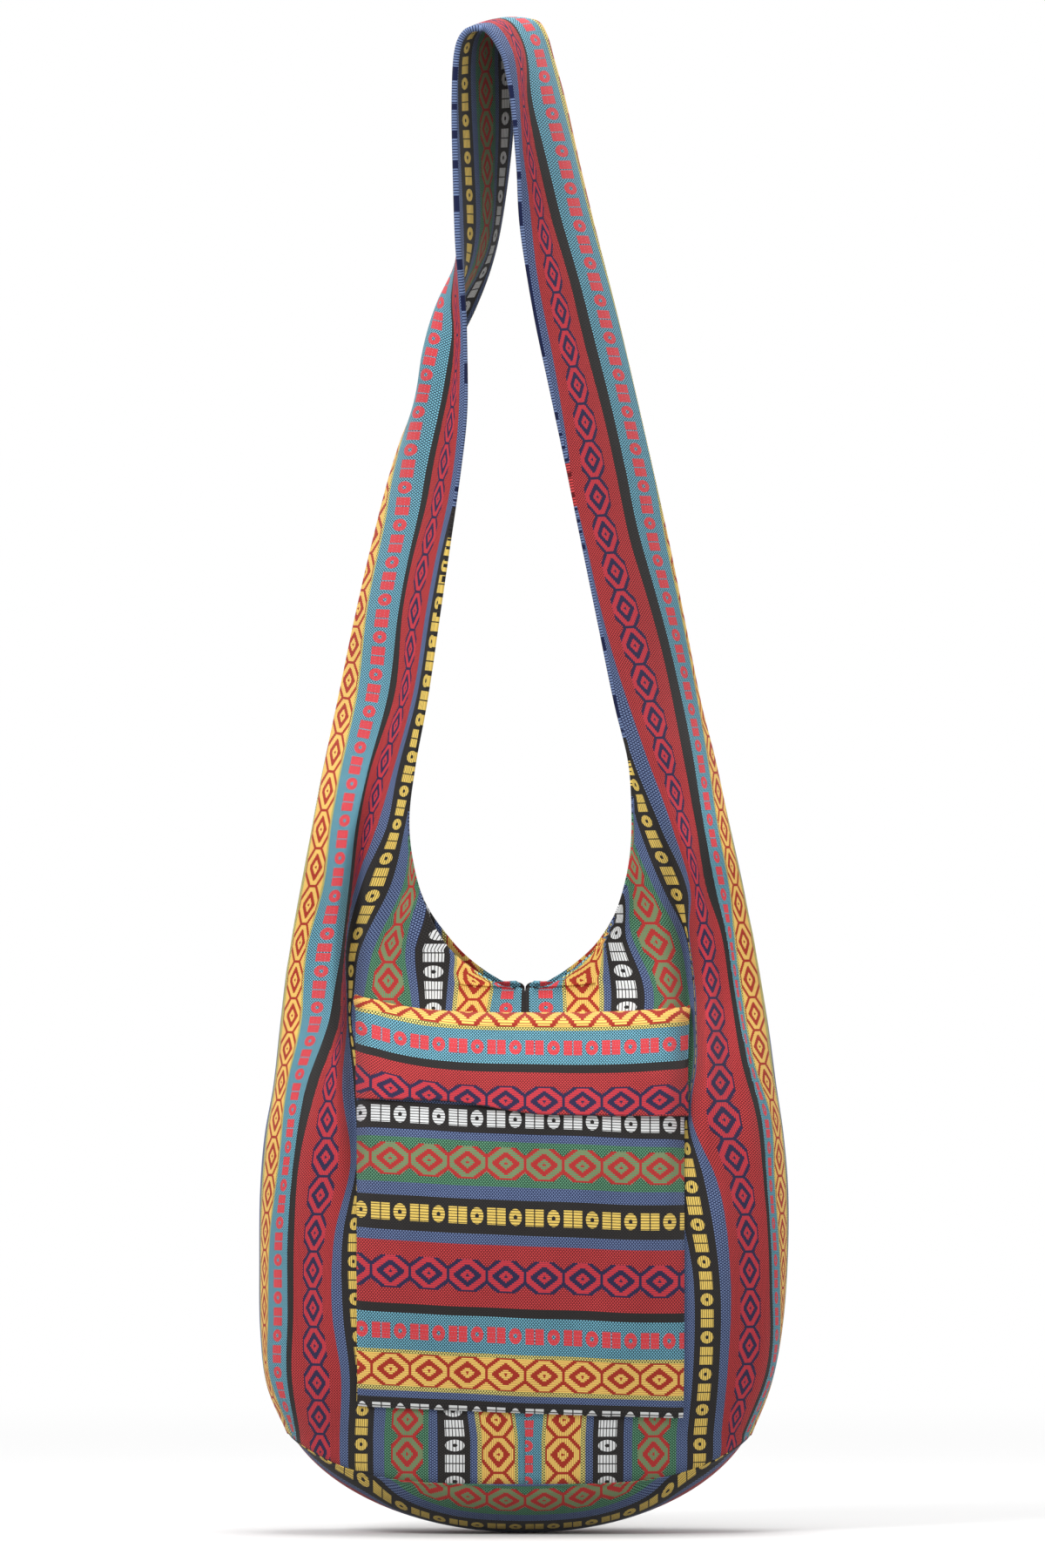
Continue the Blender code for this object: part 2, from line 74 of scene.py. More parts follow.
RIGHT_STATIONS = [
    (0.0, 0.034, 0.1495, 0.064), (0.0, 0.085, 0.1625, 0.097), (0.0, 0.125, 0.1700, 0.135),
    (0.0, 0.170, 0.1735, 0.180), (0.0, 0.215, 0.1738, 0.225), (0.0, 0.255, 0.1708, 0.262),
    (0.0, 0.290, 0.1660, 0.295), (0.0, 0.325, 0.1612, 0.331), (0.0, 0.3570, 0.1555, 0.366),
    (0.014, 0.3610, 0.1532, 0.379), (0.032, 0.372, 0.1508, 0.393), (0.049, 0.388, 0.1475, 0.409),
    (0.061, 0.411, 0.1438, 0.428), (0.0688, 0.440, 0.1390, 0.450), (0.0712, 0.470, 0.1330, 0.477),
    (0.0695, 0.508, 0.1258, 0.511), (0.0610, 0.546, 0.1165, 0.548), (0.0505, 0.598, 0.1062, 0.600),
    (0.0400, 0.649, 0.0960, 0.651), (0.0292, 0.702, 0.0843, 0.704), (0.0182, 0.754, 0.0725, 0.756),
    (0.0075, 0.805, 0.0605, 0.807), (-0.0010, 0.860, 0.0462, 0.863), (-0.0030, 0.902, 0.0362, 0.905),
    (-0.0065, 0.942, 0.0270, 0.946), (-0.0110, 0.969, 0.0196, 0.973), (-0.0160, 0.9815, 0.0150, 0.989),
    (-0.0225, 0.9905, 0.0091, 0.9985), (-0.0293, 0.9936, 0.0, 1.0),
]
BACK_EDGE = [
    (0.0, 0.034), (0.0, 0.085), (0.0, 0.125), (0.0, 0.170), (0.0, 0.215), (0.0, 0.255), (0.0, 0.290),
    (0.0, 0.325), (0.0, 0.3590), (0.015, 0.3635), (0.034, 0.376), (0.050, 0.392), (0.063, 0.415),
    (0.070, 0.441), (0.078, 0.474), (0.093, 0.510), (0.1065, 0.545),
]
LEFT_BACK_EDGE = BACK_EDGE[:12] + [(0.0655, 0.414), (0.0750, 0.441), (0.0800, 0.474), (0.0935, 0.510),
                                   (0.1065, 0.545)]
print(len(LEFT_STATIONS), "stations on the left,", len(RIGHT_STATIONS), "on the right")

# %% [markdown]
# ## Depth, squareness and the strap's bend
# Seen from above, the filled pouch is a squarish oval, and profiles over the height say how deep and how
# square it is. The strap is a flat tube, bowed across its width. It takes over between two heights.

# %% Depth profiles
DEPTH = 0.078           # the pouch's half depth where it is deepest
STRAP_WIDTH = 0.083     # the folded strap, laid flat
STRAP_PUFF = 0.006      # how far the strap's two layers stand apart
CLOTH = 0.002
SEAM_GAP = 0.0003       # between neighbours that are sewn together
SEAM_TOP = 0.357        # the centre seam ends here, at the mouth
STRAP_STARTS, STRAP_FORMED = 0.43, 0.58
FRONT_DEPTH = [(0.034, 0.79), (0.085, 0.94), (0.15, 1.0), (0.22, 0.99), (0.30, 0.82), (0.358, 0.47),
               (0.45, 0.45), (0.56, 0.40)]
BACK_DEPTH = [(0.034, 0.77), (0.085, 0.90), (0.15, 0.94), (0.22, 0.92), (0.30, 0.75), (0.358, 0.45),
              (0.45, 0.43), (0.56, 0.41)]
SQUARENESS = [(0.034, 2.0), (0.12, 2.5), (0.30, 2.5), (0.42, 2.1), (0.60, 2.0)]
ROW_RISE = [(0.034, 4.0), (0.20, 3.0), (0.36, 1.3), (0.45, 1.0)]
LEFT_BOW = [(0.50, 0.004), (0.60, 0.006), (0.70, 0.009), (0.737, 0.014), (0.770, 0.021),
            (0.808, 0.020), (0.848, 0.006), (0.90, 0.004), (1.0, 0.003)]
RIGHT_BOW = [(0.50, 0.004), (0.64, 0.007), (0.85, 0.008), (0.95, 0.005), (1.0, 0.003)]
STRAP_OPEN = [(0.58, 1.0), (0.88, 1.0), (0.95, 0.2), (1.0, 0.1)]

# %% [markdown]
# ## Folds and creases
# The cloth is wider than the strap's foot, and one big fold beside the mouth swallows the rest. Its line
# is (z, x, depth). Smaller creases run down from the strap's feet: (z0, x0, z1, x1, height, width), all
# but z in millimetres. A cloth simulation could find such folds, but only by chance the ones of the
# photo, so they are placed one by one.

# %% Folds and creases
LEFT_FOLD = [(0.10, 0.112, 0.0), (0.20, 0.112, 0.0), (0.26, 0.1145, 0.009), (0.35, 0.1180, 0.014),
             (0.40, 0.1165, 0.013), (0.44, 0.1120, 0.010), (0.50, 0.1010, 0.005), (0.56, 0.092, 0.0)]
RIGHT_FOLD = [(0.10, 0.108, 0.0), (0.19, 0.107, 0.0), (0.26, 0.1080, 0.008), (0.32, 0.1115, 0.014),
              (0.36, 0.1125, 0.014), (0.40, 0.1085, 0.012), (0.45, 0.0985, 0.008), (0.50, 0.081, 0.0)]
LEFT_CREASES = [
    (0.56, 96, 0.17, 150, 2.6, 7), (0.52, 118, 0.24, 140, 2.0, 5), (0.46, 92, 0.30, 92, -2.2, 7),
    (0.42, 80, 0.345, 62, 1.8, 6), (0.30, 125, 0.08, 133, 2.4, 9), (0.26, 152, 0.07, 142, -1.8, 8),
    (0.40, 136, 0.16, 160, -1.6, 6),
]
RIGHT_CREASES = [
    (0.55, 78, 0.18, 138, 2.6, 7), (0.50, 104, 0.22, 146, -2.0, 6), (0.45, 84, 0.31, 92, 2.2, 7),
    (0.42, 72, 0.345, 58, -1.8, 6), (0.29, 128, 0.08, 126, 2.4, 9), (0.25, 150, 0.08, 146, -1.8, 8),
    (0.42, 124, 0.20, 158, 1.6, 6),
]

# %% [markdown]
# ## Curves through tables
# Hanging cloth curves smoothly from one measured row to the next. A straight line between rows would
# leave corners that catch the light, so every table here is read with a Hermite curve, which passes
# through each row and leaves it in the direction of its neighbours.

# %% Curves through tables
def between(table, at, t, slopes):
    """Hermite step through a table's rows, t counted in rows."""
    k = np.clip(np.floor(t).astype(int), 0, len(table) - 2)
    u = np.clip(t - k, 0, 1)[..., None]
    h = at[k + 1][..., None] - at[k][..., None]
    return ((2 * u**3 - 3 * u**2 + 1) * table[k] + (u**3 - 2 * u**2 + u) * h * slopes[k]
            + (3 * u**2 - 2 * u**3) * table[k + 1] + (u**3 - u**2) * h * slopes[k + 1])


def through(stations, t):
    table = np.array(stations, float)
    return between(table, np.arange(len(table), dtype=float), np.asarray(t, float),
                   np.gradient(table, axis=0))


def profile(table, z):
    """Reads a height profile at z: all its columns if it has several."""
    rows = np.array(table, float)
    at, values = rows[:, 0], rows[:, 1:]
    z = np.clip(z, at[0], at[-1])
    found = between(values, at, np.interp(z, at, np.arange(len(at))), np.gradient(values, at, axis=0))
    return found[..., 0] if values.shape[1] == 1 else found


def ease(x, low, high):
    t = np.clip((x - low) / (high - low), 0, 1)
    return t * t * (3 - 2 * t)


print("left edge and side half way between stations 14 and 15:", through(LEFT_STATIONS, 14.5).round(4))

# %% [markdown]
# ## One side of the bag
# Both halves are made the same way, so one class answers for either how wide the bag is at a height and
# how deep it is at a point. A section starts as an oval. The fold and the creases are added as smooth
# waves in its depth, and low lumps keep the loose cloth from looking pressed.

# %% One side of the bag
class Side:
    """Outline, depth, folds and creases of one side, with x measured outward from the centre."""

    def __init__(self, stations, beyond, fold, creases, bow, sign):
        self.last = len(stations) - 1
        past = [-beyond[-2][0], beyond[-2][1], -beyond[-2][2], beyond[-2][3]]
        self.stations = np.array(stations + [past])
        self.fold, self.creases, self.bow, self.sign = fold, creases, bow, sign
        fine = through(self.stations, np.linspace(0, self.last, 500))
        self.edge, self.outline = (fine[:, 1], fine[:, 0]), (fine[:, 3], fine[:, 2])

    def width(self, z):
        return np.interp(z, *self.outline)

    def seam_y(self, z):
        """The side seam's depth: the strap is wider than it looks, so it stands aslant."""
        across = self.width(z) - np.interp(z, *self.edge)
        lag = 0.5 * np.sqrt(np.maximum(STRAP_WIDTH**2 - across**2, 0))
        return lag * ease(z, STRAP_STARTS, STRAP_FORMED)

    def relief(self, x, z):
        """How far folds and creases carry the front back: a groove with a rolled lip outside it."""
        fold_x, depth = np.moveaxis(profile(self.fold, z), -1, 0)
        depth, off = np.maximum(depth, 0), x - fold_x
        groove, lip = np.exp(-((off + 0.004) / 0.0075) ** 2), np.exp(-((off - 0.009) / 0.007) ** 2)
        back = depth * groove - 0.45 * depth * lip
        for z0, x0, z1, x1, height, width in self.creases:
            t = np.clip((z0 - z) / (z0 - z1), 0, 1)
            middle = (x0 + (x1 - x0) * t ** 0.8) / 1000
            back -= height / 1000 * np.sin(np.pi * t) ** 0.8 * np.exp(-((x - middle) / width * 1000) ** 2)
        return back

    def oval(self, x, z, depth):
        """The bare section: depth in the middle, none at the side, with squarish corners."""
        side_y = self.seam_y(z)
        start = np.interp(z, *self.edge) * ease(z, 0.40, STRAP_FORMED)
        share = np.clip((x - start) / np.maximum(self.width(z) - start, 1e-4), 0, 1)
        n = profile(SQUARENESS, z)
        return side_y + (depth - side_y) * (1 - share**n) ** (1 / n)

    def front_y(self, x, z):
        x_wave = x * self.sign
        lumps = (np.sin(x_wave * 41 + 1.3 * np.sin(z * 23) + 0.7) * np.sin(z * 37 + 1.1 + x_wave * 9)
                 + 0.6 * np.sin(x_wave * 87 + z * 31 + 2.0) * np.sin(z * 71 - x_wave * 22))
        loose = 0.0011 * lumps * np.clip(1 - (x / 0.17) ** 4, 0, 1) * ease(z, 0.04, 0.09)
        return self.oval(x, z, -DEPTH * profile(FRONT_DEPTH, z)) + self.relief(x, z) + loose

    def back_y(self, x, z):
        return self.oval(x, z, DEPTH * profile(BACK_DEPTH, z)) - 0.5 * self.relief(x, z)

    def spread(self, low, high, columns):
        """Points across each section, closer together at the fold."""
        v = np.linspace(0, 1, 401)
        rows = []
        for (edge_x, edge_z), (side_x, side_z) in zip(low, high):
            share = np.sin(v * np.pi / 2) ** (2 / profile(SQUARENESS, edge_z))
            centre = (profile(self.fold, edge_z)[0] - edge_x) / max(side_x - edge_x, 1e-4)
            bunch = 1.6 * ease(edge_z, 0.15, 0.25) * (1 - ease(edge_z, 0.48, 0.56))
            density = 1 + bunch * np.exp(-(((share - centre) / 0.11) ** 2))
            total = np.concatenate([[0], np.cumsum((density[1:] + density[:-1]) / 2)])
            rows.append(np.interp(np.linspace(0, total[-1], columns), total, v))
        return np.array(rows)

    def pouch(self, low, high, columns, depth_at):
        """A grid of points: each row rises from the cloth's edge to its side."""
        v = self.spread(low, high, columns)
        n = profile(SQUARENESS, low[:, 1])[:, None]
        share = np.sin(v * np.pi / 2) ** (2 / n)
        rise = share ** profile(ROW_RISE, low[:, 1])[:, None]
        z = low[:, 1:] + (high[:, 1:] - low[:, 1:]) * rise
        x = low[:, :1] + share * (self.width(z) - low[:, :1])
        return np.stack([x, depth_at(x, z), z], axis=-1), v


LEFT = Side(LEFT_STATIONS, RIGHT_STATIONS, LEFT_FOLD, LEFT_CREASES, LEFT_BOW, -1)
RIGHT = Side(RIGHT_STATIONS, LEFT_STATIONS, RIGHT_FOLD, RIGHT_CREASES, RIGHT_BOW, 1)
for half in (LEFT, RIGHT):
    print("half width at z 0.20:", round(float(half.width(0.20)), 4))

# %% [markdown]
# ## Where the stripes run
# Counted outward from the centre seam, the cloth changes colour at each number of STRIPE_AT. The tables
# give how far out each change lies, in threads, at heights up the bag. Where several changes share one
# place, the cloth between them is inside a fold. The second column is the count at the cloth's edge,
# which the mouth has cut, and the last is the count at the side.

# %% Stripe paths
STRIPE_AT = [47.5, 102.5, 144.5, 195.5, 210.5, 250.5, 262.5, 334.5, 345.5, 387.5]
LEFT_PATHS = [
    (0.066, 36, 7, 61, 110, 160, 173, 202, 212, 258, 263, 268, 395),
    (0.105, 30, 17, 70, 110, 157, 171, 200, 210, 267, 273, 293, 440),
    (0.144, 20, 27, 80, 118, 166, 178, 207, 220, 265, 272, 294, 443),
    (0.196, 12, 35, 88, 126, 172, 184, 208, 218, 264, 272, 292, 442),
    (0.247, 6, 41, 92, 130, 172, 183, 192, 199, 258, 265, 281, 442),
    (0.293, 3, 42, 92, 128, 172, 184, 195, 209, 239, 252, 273, 440),
    (0.343, 0, 40, 90, 128, 188, 199, 203.5, 204, 211, 223, 255, 437),
    (0.357, 0, 36, 88, 131, 183, 196, 204.5, 205, 210, 219, 254, 437),
    (0.380, 90, 30, 84, 137, 175, 191, 206, 206.5, 207, 212, 251, 436),
    (0.431, 152, 30, 84, 117, 137, 151, 185, 193, 197, 201, 229, 436),
    (0.466, 203, 30, 60, 100, 130, 137, 158, 170, 190, 194, 222, 434),
    (0.499, 222, 30, 60, 95, 118, 127, 147, 153, 179, 182, 212, 432),
    (0.554, 225, 30, 60, 80, 100, 108, 123, 128, 149, 157, 192, 428),
    (0.609, 226, 20, 50, 70, 88, 95, 108, 113, 140, 145, 181, 416),
    (0.696, 247, 10, 30, 45, 60, 68, 79, 84, 107, 114, 148, 403),
]
RIGHT_PATHS = [
    (0.066, 24, 18, 76, 122, 172, 185, 215, 225, 249, 252, 257, 395),
    (0.105, 22, 24, 80, 125, 178, 191, 221, 231, 275, 279, 286, 430),
    (0.167, 15, 32, 88, 132, 180, 192, 222, 235, 280, 283, 292, 440),
    (0.234, 8, 40, 92, 132, 166, 175, 204, 219, 273, 277, 285, 441),
    (0.275, 4, 42, 92, 132, 181, 183, 186, 190, 265, 271, 281, 440),
    (0.311, 0, 42, 92, 134, 193, 194.5, 195, 196, 248, 256, 261, 439),
    (0.357, 0, 42, 97, 147, 187, 194, 194.5, 195, 235, 241, 247, 436),
    (0.401, 92, 30, 88, 119, 170, 180, 187, 188, 222, 229, 238, 436),
    (0.420, 132, 30, 88, 119, 152, 162, 187, 190, 210, 221, 235, 437),
    (0.465, 184, 30, 70, 100, 118, 130, 155, 169, 196, 206, 221, 436),
    (0.519, 248, 20, 50, 80, 100, 106, 117, 135, 179, 191, 207, 416),
    (0.574, 254, 10, 30, 50, 70, 84, 95, 103, 160, 171, 190, 402),
    (0.696, 256, 0, 10, 20, 30, 40, 49, 53, 97, 112, 145, 400),
]

# %% [markdown]
# The strap carries only part of the cloth on its face: a blue edge, red, black, turquoise and a little
# yellow. Its table has the count at the inner edge, then the shares of the strap's width at which red
# begins, red ends, turquoise begins and yellow begins, and the count at the outer edge.

# %% Stripes up the strap
LEFT_STRAP = [
    (0.66, 256, 0.059, 0.270, 0.345, 0.825, 404), (0.70, 256, 0.042, 0.250, 0.325, 0.870, 400),
    (0.735, 256, 0.046, 0.190, 0.250, 0.850, 404), (0.77, 257, 0.040, 0.100, 0.148, 0.600, 430),
    (0.793, 258, 0.026, 0.085, 0.105, 0.500, 440), (0.816, 259, 0.026, 0.120, 0.140, 0.500, 440),
    (0.84, 261, 0.010, 0.120, 0.140, 0.500, 440), (0.87, 261, 0.010, 0.140, 0.160, 0.550, 430),
    (0.92, 257, 0.050, 0.220, 0.250, 0.700, 412), (0.96, 253, 0.120, 0.330, 0.370, 0.850, 397),
    (1.0, 252, 0.140, 0.360, 0.400, 0.870, 395),
]
RIGHT_STRAP = [
    (0.643, 266, 0.005, 0.475, 0.610, 0.970, 391), (0.689, 266, 0.005, 0.440, 0.570, 0.980, 390),
    (0.735, 257, 0.036, 0.430, 0.555, 0.985, 390), (0.781, 255, 0.063, 0.393, 0.527, 0.980, 390),
    (0.827, 255, 0.064, 0.370, 0.490, 0.960, 392), (0.873, 253, 0.081, 0.280, 0.405, 0.915, 394),
    (0.914, 256, 0.041, 0.190, 0.305, 0.885, 395), (0.948, 253, 0.070, 0.180, 0.245, 0.830, 394),
    (0.977, 252, 0.120, 0.310, 0.340, 0.860, 394), (1.0, 252, 0.140, 0.360, 0.400, 0.870, 395),
]
STRAP_CHANGES = 262.5, 334.5, 345.5, 387.5    # of STRIPE_AT, in the order of the table's shares


def cloth_on_strap(table, v, z):
    """The cloth count at a share v of the strap's width."""
    first, *shares, last = np.moveaxis(profile(table, z), -1, 0)
    places = [np.zeros_like(first), *shares, np.ones_like(first)]
    counts = [first, np.maximum(first, STRAP_CHANGES[0]),
              *(change + 0 * first for change in STRAP_CHANGES[1:]), last]
    count = first
    for k in range(len(counts) - 1):
        share = np.clip((v - places[k]) / np.maximum(places[k + 1] - places[k], 1e-3), 0, 1)
        count = count + share * (counts[k + 1] - counts[k])
    return count


print("count in the middle of the right strap:", cloth_on_strap(RIGHT_STRAP, 0.5, np.array([0.8])).round(1))

# %% [markdown]
# Below the strap, a point's count is read between the paths on its two sides: the cloth between two
# changes is shared out evenly, so stripes narrow where the cloth turns away or is folded in.

# %% Stripes on the pouch
def cloth_across(side, paths, points):
    """The cloth count at each point of a front panel, read between the stripe paths."""
    table = np.array(paths)
    x, z = points[..., 0].ravel(), points[..., 2].ravel()
    at = table[:, 0]
    t = np.interp(z, at, np.arange(len(at)))
    rows = between(table, at, t, np.gradient(table, at, axis=0))
    out, first, last = rows[:, 2:12] * THREAD, np.maximum(rows[:, 1], 0), rows[:, 12]
    edge = np.where(z < SEAM_TOP, 0.0, np.interp(z, *side.edge))
    width = side.width(z)
    reach = np.concatenate([edge[:, None], out, width[:, None]], axis=1)
    count = np.concatenate([first[:, None], np.tile(STRIPE_AT, (len(x), 1)), last[:, None]], axis=1)
    # A change that the mouth's edge has cut off, or that lies past the side, doesn't count.
    inner = (count <= first[:, None] + 0.5) & (np.arange(12) > 0)
    reach[inner] = np.tile(edge[:, None], (1, 12))[inner]
    count = np.maximum(count, first[:, None])
    reach = np.minimum(np.maximum.accumulate(reach, axis=1), width[:, None])
    reach += np.arange(12) * 1e-6
    k = np.clip((x[:, None] >= reach).sum(1) - 1, 0, 10)
    pick = np.arange(len(x))
    share = np.clip((x - reach[pick, k]) / (reach[pick, k + 1] - reach[pick, k]), 0, 1)
    return (count[pick, k] + share * (count[pick, k + 1] - count[pick, k])).reshape(points.shape[:2])


# %% [markdown]
# ## Sheets of cloth
# Every piece is a sheet with a thickness: two grids of points, its outer and inner faces. A solidify
# modifier could add the thickness, but the base and the folded strap are built on the inner face's
# points. First come three small measures on a grid.

# %% Directions and lengths on a grid
def unit(vectors):
    return vectors / np.maximum(np.linalg.norm(vectors, axis=-1, keepdims=True), 1e-12)


def normals(points, around=False):
    across = (np.roll(points, -1, axis=1) - np.roll(points, 1, axis=1)) if around else \
        np.gradient(points, axis=1)
    return unit(np.cross(across, np.gradient(points, axis=0)))


def lengths(points, axis):
    """Distance travelled along a grid of points, from its first row or column."""
    step = np.linalg.norm(np.diff(points, axis=axis), axis=-1)
    return np.concatenate([np.zeros_like(np.take(step, [0], axis)), np.cumsum(step, axis=axis)], axis)


# %% [markdown]
# Woven cloth that is turned under at an edge has a soft, round rim. So the two faces are joined over a
# row of points half way through the cloth that stands a little outward.

# %% The rounded rim
RIM_ROUND = 0.35    # how far the rim stands out, as a share of the thickness


def rounded_rim(ring, outer, inner):
    """The rim's own points and the faces on both sides of them; ring lists the points round the sheet."""
    low, high = inner[ring], outer[ring]
    middle, thick = (high + low) / 2, high - low
    along = unit(np.roll(middle, -1, axis=0) - np.roll(middle, 1, axis=0))
    outward = unit(np.cross(along, thick)) * np.linalg.norm(thick, axis=1, keepdims=True) * RIM_ROUND
    far = len(outer)
    mid = 2 * far + np.arange(len(ring))
    after, mid_after = np.roll(ring, -1), np.roll(mid, -1)
    return middle + outward, [np.stack([ring, mid, mid_after, after], axis=-1),
                              np.stack([mid, ring + far, after + far, mid_after], axis=-1)]


# %% [markdown]
# The mesh is filled from whole arrays, which is quicker than one face at a time. Its UV map isn't an
# unwrapping: it holds each corner's place in the cloth, across and along, in hundreds of threads.

# %% From arrays to a mesh
def mesh_piece(name, points, faces, loops):
    mesh = bpy.data.meshes.new(name)
    mesh.vertices.add(len(points))
    mesh.vertices.foreach_set("co", points.ravel())
    mesh.loops.add(faces.size)
    mesh.loops.foreach_set("vertex_index", np.ascontiguousarray(faces).ravel())
    mesh.polygons.add(len(faces))
    mesh.polygons.foreach_set("loop_start", np.arange(len(faces)) * 4)
    mesh.polygons.foreach_set("use_smooth", np.ones(len(faces), bool))
    mesh.update(calc_edges=True)
    mesh.uv_layers.new(name="cloth").data.foreach_set("uv", np.ascontiguousarray(loops / 100).ravel())
    mesh.validate()
    piece = bpy.data.objects.new(name, mesh)
    bpy.context.scene.collection.objects.link(piece)
    return piece


def sheet_mesh(name, outer, inner, cloth_outer, cloth_inner, around=False, sign=1):
    """One closed piece from two grids and their places in the cloth; around joins last column to first."""
    far = outer.shape[0] * outer.shape[1]
    ids = np.arange(far).reshape(outer.shape[:2])
    if around:
        ring, ids = ids[0], np.concatenate([ids, ids[:, :1]], axis=1)
    else:
        ring = np.concatenate([ids[0], ids[1:, -1], ids[-1, -2::-1], ids[-2::-1, 0]])[:-1]
    quads = np.stack([ids[:-1, :-1], ids[:-1, 1:], ids[1:, 1:], ids[1:, :-1]], axis=-1).reshape(-1, 4)
    back = quads[:, ::-1] + far
    outer, inner = outer.reshape(-1, 3), inner.reshape(-1, 3)
    rim_points, rim_faces = rounded_rim(ring, outer, inner)
    points = np.concatenate([outer, inner, rim_points]) * [sign, 1, 1] - ORIGIN
    faces = np.concatenate([quads, back, *rim_faces])

    places = np.concatenate([cloth_outer.reshape(-1, 2), cloth_inner.reshape(-1, 2)])
    here, there = places[ring], places[np.roll(ring, -1)]
    if around:
        there[-1] = here[-1]
    rim = np.stack([here, here, there, there], axis=1).reshape(-1, 2)
    loops = np.concatenate([places[quads.ravel()], places[back.ravel()], rim, rim])

    # A mirrored sheet comes out inside out. Its volume is then negative, and all its faces are turned.
    a, b, c = np.moveaxis(points[faces[:, :3]], 1, 0)
    if np.einsum("ij,ij->i", a, np.cross(b - a, c - a)).sum() < 0:
        loops = loops.reshape(-1, 4, 2)[:, ::-1].reshape(-1, 2)
        faces = faces[:, ::-1]
    return mesh_piece(name, points, faces, loops)


# %% [markdown]
# Stitches pull the cloth down beside them, and that dip is what makes a seam read as sewn.

# %% Drawn-in seams
def tuck(points, face, edges, depth=0.0009, reach=0.0035):
    """Draws a face in beside sewn edges; edges names the grid's sides: low, high, start, end."""
    along, across = lengths(points, 0), lengths(points, 1)
    near = {"low": along, "high": along[-1:] - along, "start": across, "end": across[:, -1:] - across}
    for name in edges:
        points = points - face * (depth * np.exp(-(near[name] / reach) ** 2))[..., None]
    return points


# %% [markdown]
# ## The front panels and the strap
# These take the most skill. Each front panel is cut in one piece with its half of the strap. It starts as
# a filled pouch, is gathered beside the mouth, and folds lengthwise into a flat tube that twists on its
# way up. Pouch and strap are two grids with the same rows and columns, and the points pass from one to
# the other between two heights.

# %% The front's grid of points
BOW_SHORTENS = 5.3    # a strip bowed by b and w wide is about sqrt(w^2 - 5.3 b^2) from edge to edge


def front_grid(side, rows=300, columns=110):
    """Points, thickness, shares of the width, and how far each row has become a strap."""
    station = np.linspace(0, side.last, rows)
    line = through(side.stations, station)
    low, high = line[:, :2], line[:, 2:]
    points, v = side.pouch(low, high, columns, side.front_y)
    bow = profile(side.bow, low[:, 1])
    chord = STRAP_WIDTH**2 - ((high - low) ** 2).sum(1) - BOW_SHORTENS * bow**2
    lag = 0.5 * np.sqrt(np.maximum(chord, 0))
    front = np.stack([low[:, 0], -lag, low[:, 1]], axis=-1)[:, None]
    back = np.stack([high[:, 0], lag, high[:, 1]], axis=-1)[:, None]
    outward = unit(np.cross(back - front, np.gradient(front + back, axis=0)))
    strap = front + (back - front) * v[..., None] + outward * (bow[:, None] * np.sin(np.pi * v))[..., None]
    formed = ease(low[:, 1:], STRAP_STARTS, STRAP_FORMED)
    points = points + (strap - points) * formed[..., None]
    puff = STRAP_PUFF * profile(STRAP_OPEN, low[:, 1])[:, None]
    return points, CLOTH + formed * (CLOTH + puff * np.sin(np.pi * v)), v, formed


# %% [markdown]
# Up the centre seam both halves end just short of the middle plane, and at the top the strap's halves end
# in one plane, so that they meet without crossing.

# %% Sewn edges of a front
def close_on_seam(grid, rows):
    grid[rows, 0, 0] = SEAM_GAP / 2


def trim_front(side, outer, inner, thick):
    """Ends a front's first column at the centre seam, and its last row at the strap's top."""
    for grid in (outer, inner):
        close_on_seam(grid, (grid[:, 0, 2] < SEAM_TOP + 0.0001) & (np.abs(grid[:, 0, 0]) < 0.004))
    across = outer[-1, -1] - outer[-1, 0]
    away = unit(np.array([across[1], -across[0], 0.0])) * side.sign
    outer[-1] -= ((outer[-1] - outer[-1, 0]) @ away)[:, None] * away
    inner[-1] = outer[-1] - np.array([0, 0, 1]) * thick[-1][:, None]
    for grid in (outer, inner):
        grid[-1] += away * [side.sign, 1, 1] * SEAM_GAP / 2


# %% [markdown]
# The inner face shows the back of the same thread, so it takes the outer face's count. On the strap it
# is the cloth folded round the inner edge, and there the count runs back down from that edge.

# %% Front panels
STRAP_STRIPES = 0.64, 0.70    # between these heights the strap's own stripe table takes over
FOLDED_IN = 95                # the count at the outer edge of the strap's inner face


def front_panel(name, side, paths, strap):
    outer, thick, v, formed = front_grid(side)
    face = normals(outer)
    inner = outer - face * thick[..., None]
    inner[:, -1, 1] = outer[:, -1, 1] + (inner[:, -1, 1] - outer[:, -1, 1]) * formed[:, 0]
    trim_front(side, outer, inner, thick)

    z = outer[..., 2]
    count = cloth_across(side, paths, outer)
    count = count + (cloth_on_strap(strap, v, z) - count) * ease(z, *STRAP_STRIPES)
    middle = outer[:, outer.shape[1] // 2]
    way = np.concatenate([[0], np.cumsum(np.linalg.norm(np.diff(middle, axis=0), axis=1))])
    along = (way[:, None] + (z - middle[:, None, 2]) * (1 - formed)) / THREAD
    turned = ease(z - np.interp(outer[..., 0], *np.transpose(BACK_EDGE[12:])), -0.012, -0.006)
    folded = count[:, :1] - (count[:, :1] - FOLDED_IN) * v
    under = count + (folded - count) * turned
    return sheet_mesh(name, tuck(outer, face, ["low"]), inner, np.stack([count, along], -1),
                      np.stack([under, along], -1), sign=side.sign), outer, inner


left_front, left_out, left_in = front_panel("left_front_cloth", LEFT, LEFT_PATHS, LEFT_STRAP)
right_front, right_out, right_in = front_panel("right_front_cloth", RIGHT, RIGHT_PATHS, RIGHT_STRAP)
for piece in (left_front, right_front):
    print(piece.name, len(piece.data.polygons), "faces")


# %% [markdown]
# ## The back panels
# The photo doesn't show the back. Such a bag repeats its front there, without the pocket, so each back
# panel is the same pouch with the back's depth. Its side follows the front's side, as it is sewn to it,
# and its top stands behind the strap's foot.

